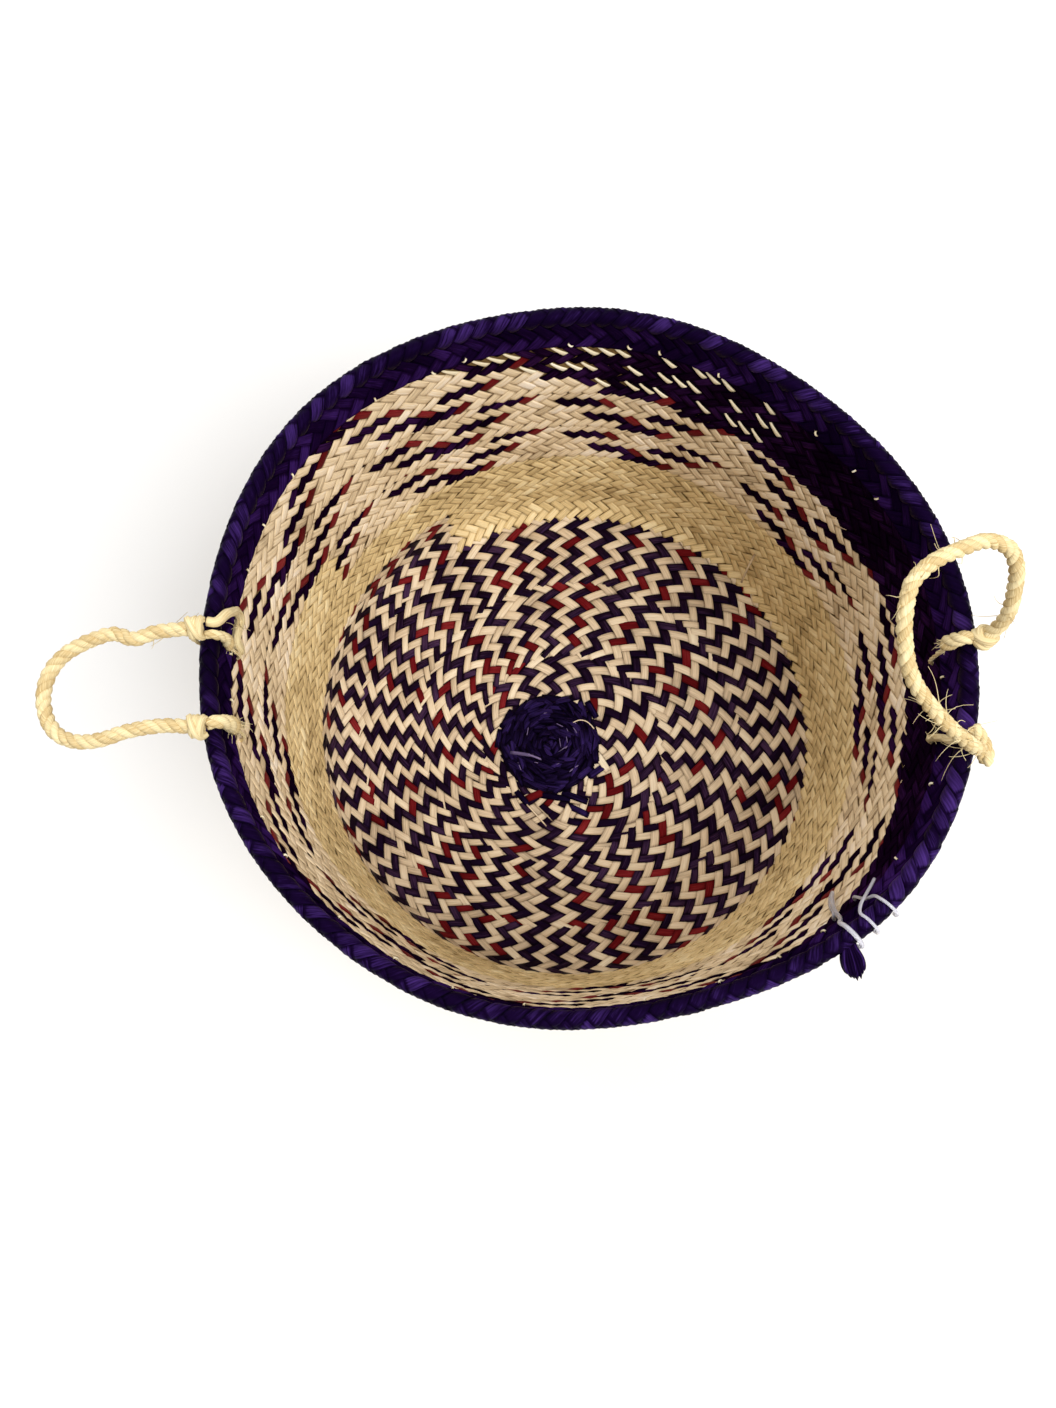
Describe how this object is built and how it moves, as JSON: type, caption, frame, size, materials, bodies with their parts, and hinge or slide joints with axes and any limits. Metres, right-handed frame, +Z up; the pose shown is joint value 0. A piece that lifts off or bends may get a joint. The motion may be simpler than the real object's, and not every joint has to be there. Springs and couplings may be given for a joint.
{
  "type": "palm leaf basket",
  "caption": "Round open basket of plaited palm strips sewn in a spiral, with zigzag bands, a dark folded rim and two sisal rope loop handles.",
  "frame": {"origin": "middle of the underside of the base, on the surface that the basket stands on", "axes": "+Z up through the open mouth, +X towards the right handle, +Y towards the rear of the rim"},
  "size_m": [0.4103, 0.3237, 0.2585],
  "materials": {
    "natural_palm": "satin",
    "purple_palm": "satin",
    "striped_palm": "satin",
    "patterned_palm": "satin",
    "sisal_rope": "matte",
    "clear_plastic": "gloss"
  },
  "bodies": {
    "basket": {"start_knot": "purple_palm", "centre_coil": "purple_palm", "base_plait": "patterned_palm", "lower_wall_plait": "natural_palm", "upper_wall_plait": "striped_palm", "shoulder_plait": "purple_palm", "rim_plait": "purple_palm", "rim_plait_tail": "purple_palm", "base_sewing_strand": "natural_palm", "wall_sewing_strand": "natural_palm", "rim_sewing_strand": "purple_palm", "left_rear_eye_upper": "sisal_rope", "left_rear_eye_lower": "sisal_rope", "left_front_eye": "sisal_rope", "right_rear_eye": "sisal_rope", "right_front_eye": "sisal_rope", "tag_loop_band": "clear_plastic", "tag_loop_thread": "clear_plastic"},
    "left_handle": {"left_handle_rope": "sisal_rope", "left_rear_knot": "sisal_rope", "left_front_knot": "sisal_rope"},
    "right_handle": {"right_handle_rope": "sisal_rope", "right_rear_knot": "sisal_rope", "right_front_knot": "sisal_rope"}
  },
  "joints": [
    {"name": "left_handle_swing", "type": "hinge", "parent": "basket", "child": "left_handle", "pos_m": [-0.16459, -0.01678, 0.20532], "axis": [-0.0802, 0.9968, 0], "range_deg": [0, 118]},
    {"name": "right_handle_swing", "type": "hinge", "parent": "basket", "child": "right_handle", "pos_m": [0.16653, -0.02408, 0.20532], "axis": [0.1188, 0.9929, 0], "range_deg": [0, 70]}
  ]
}
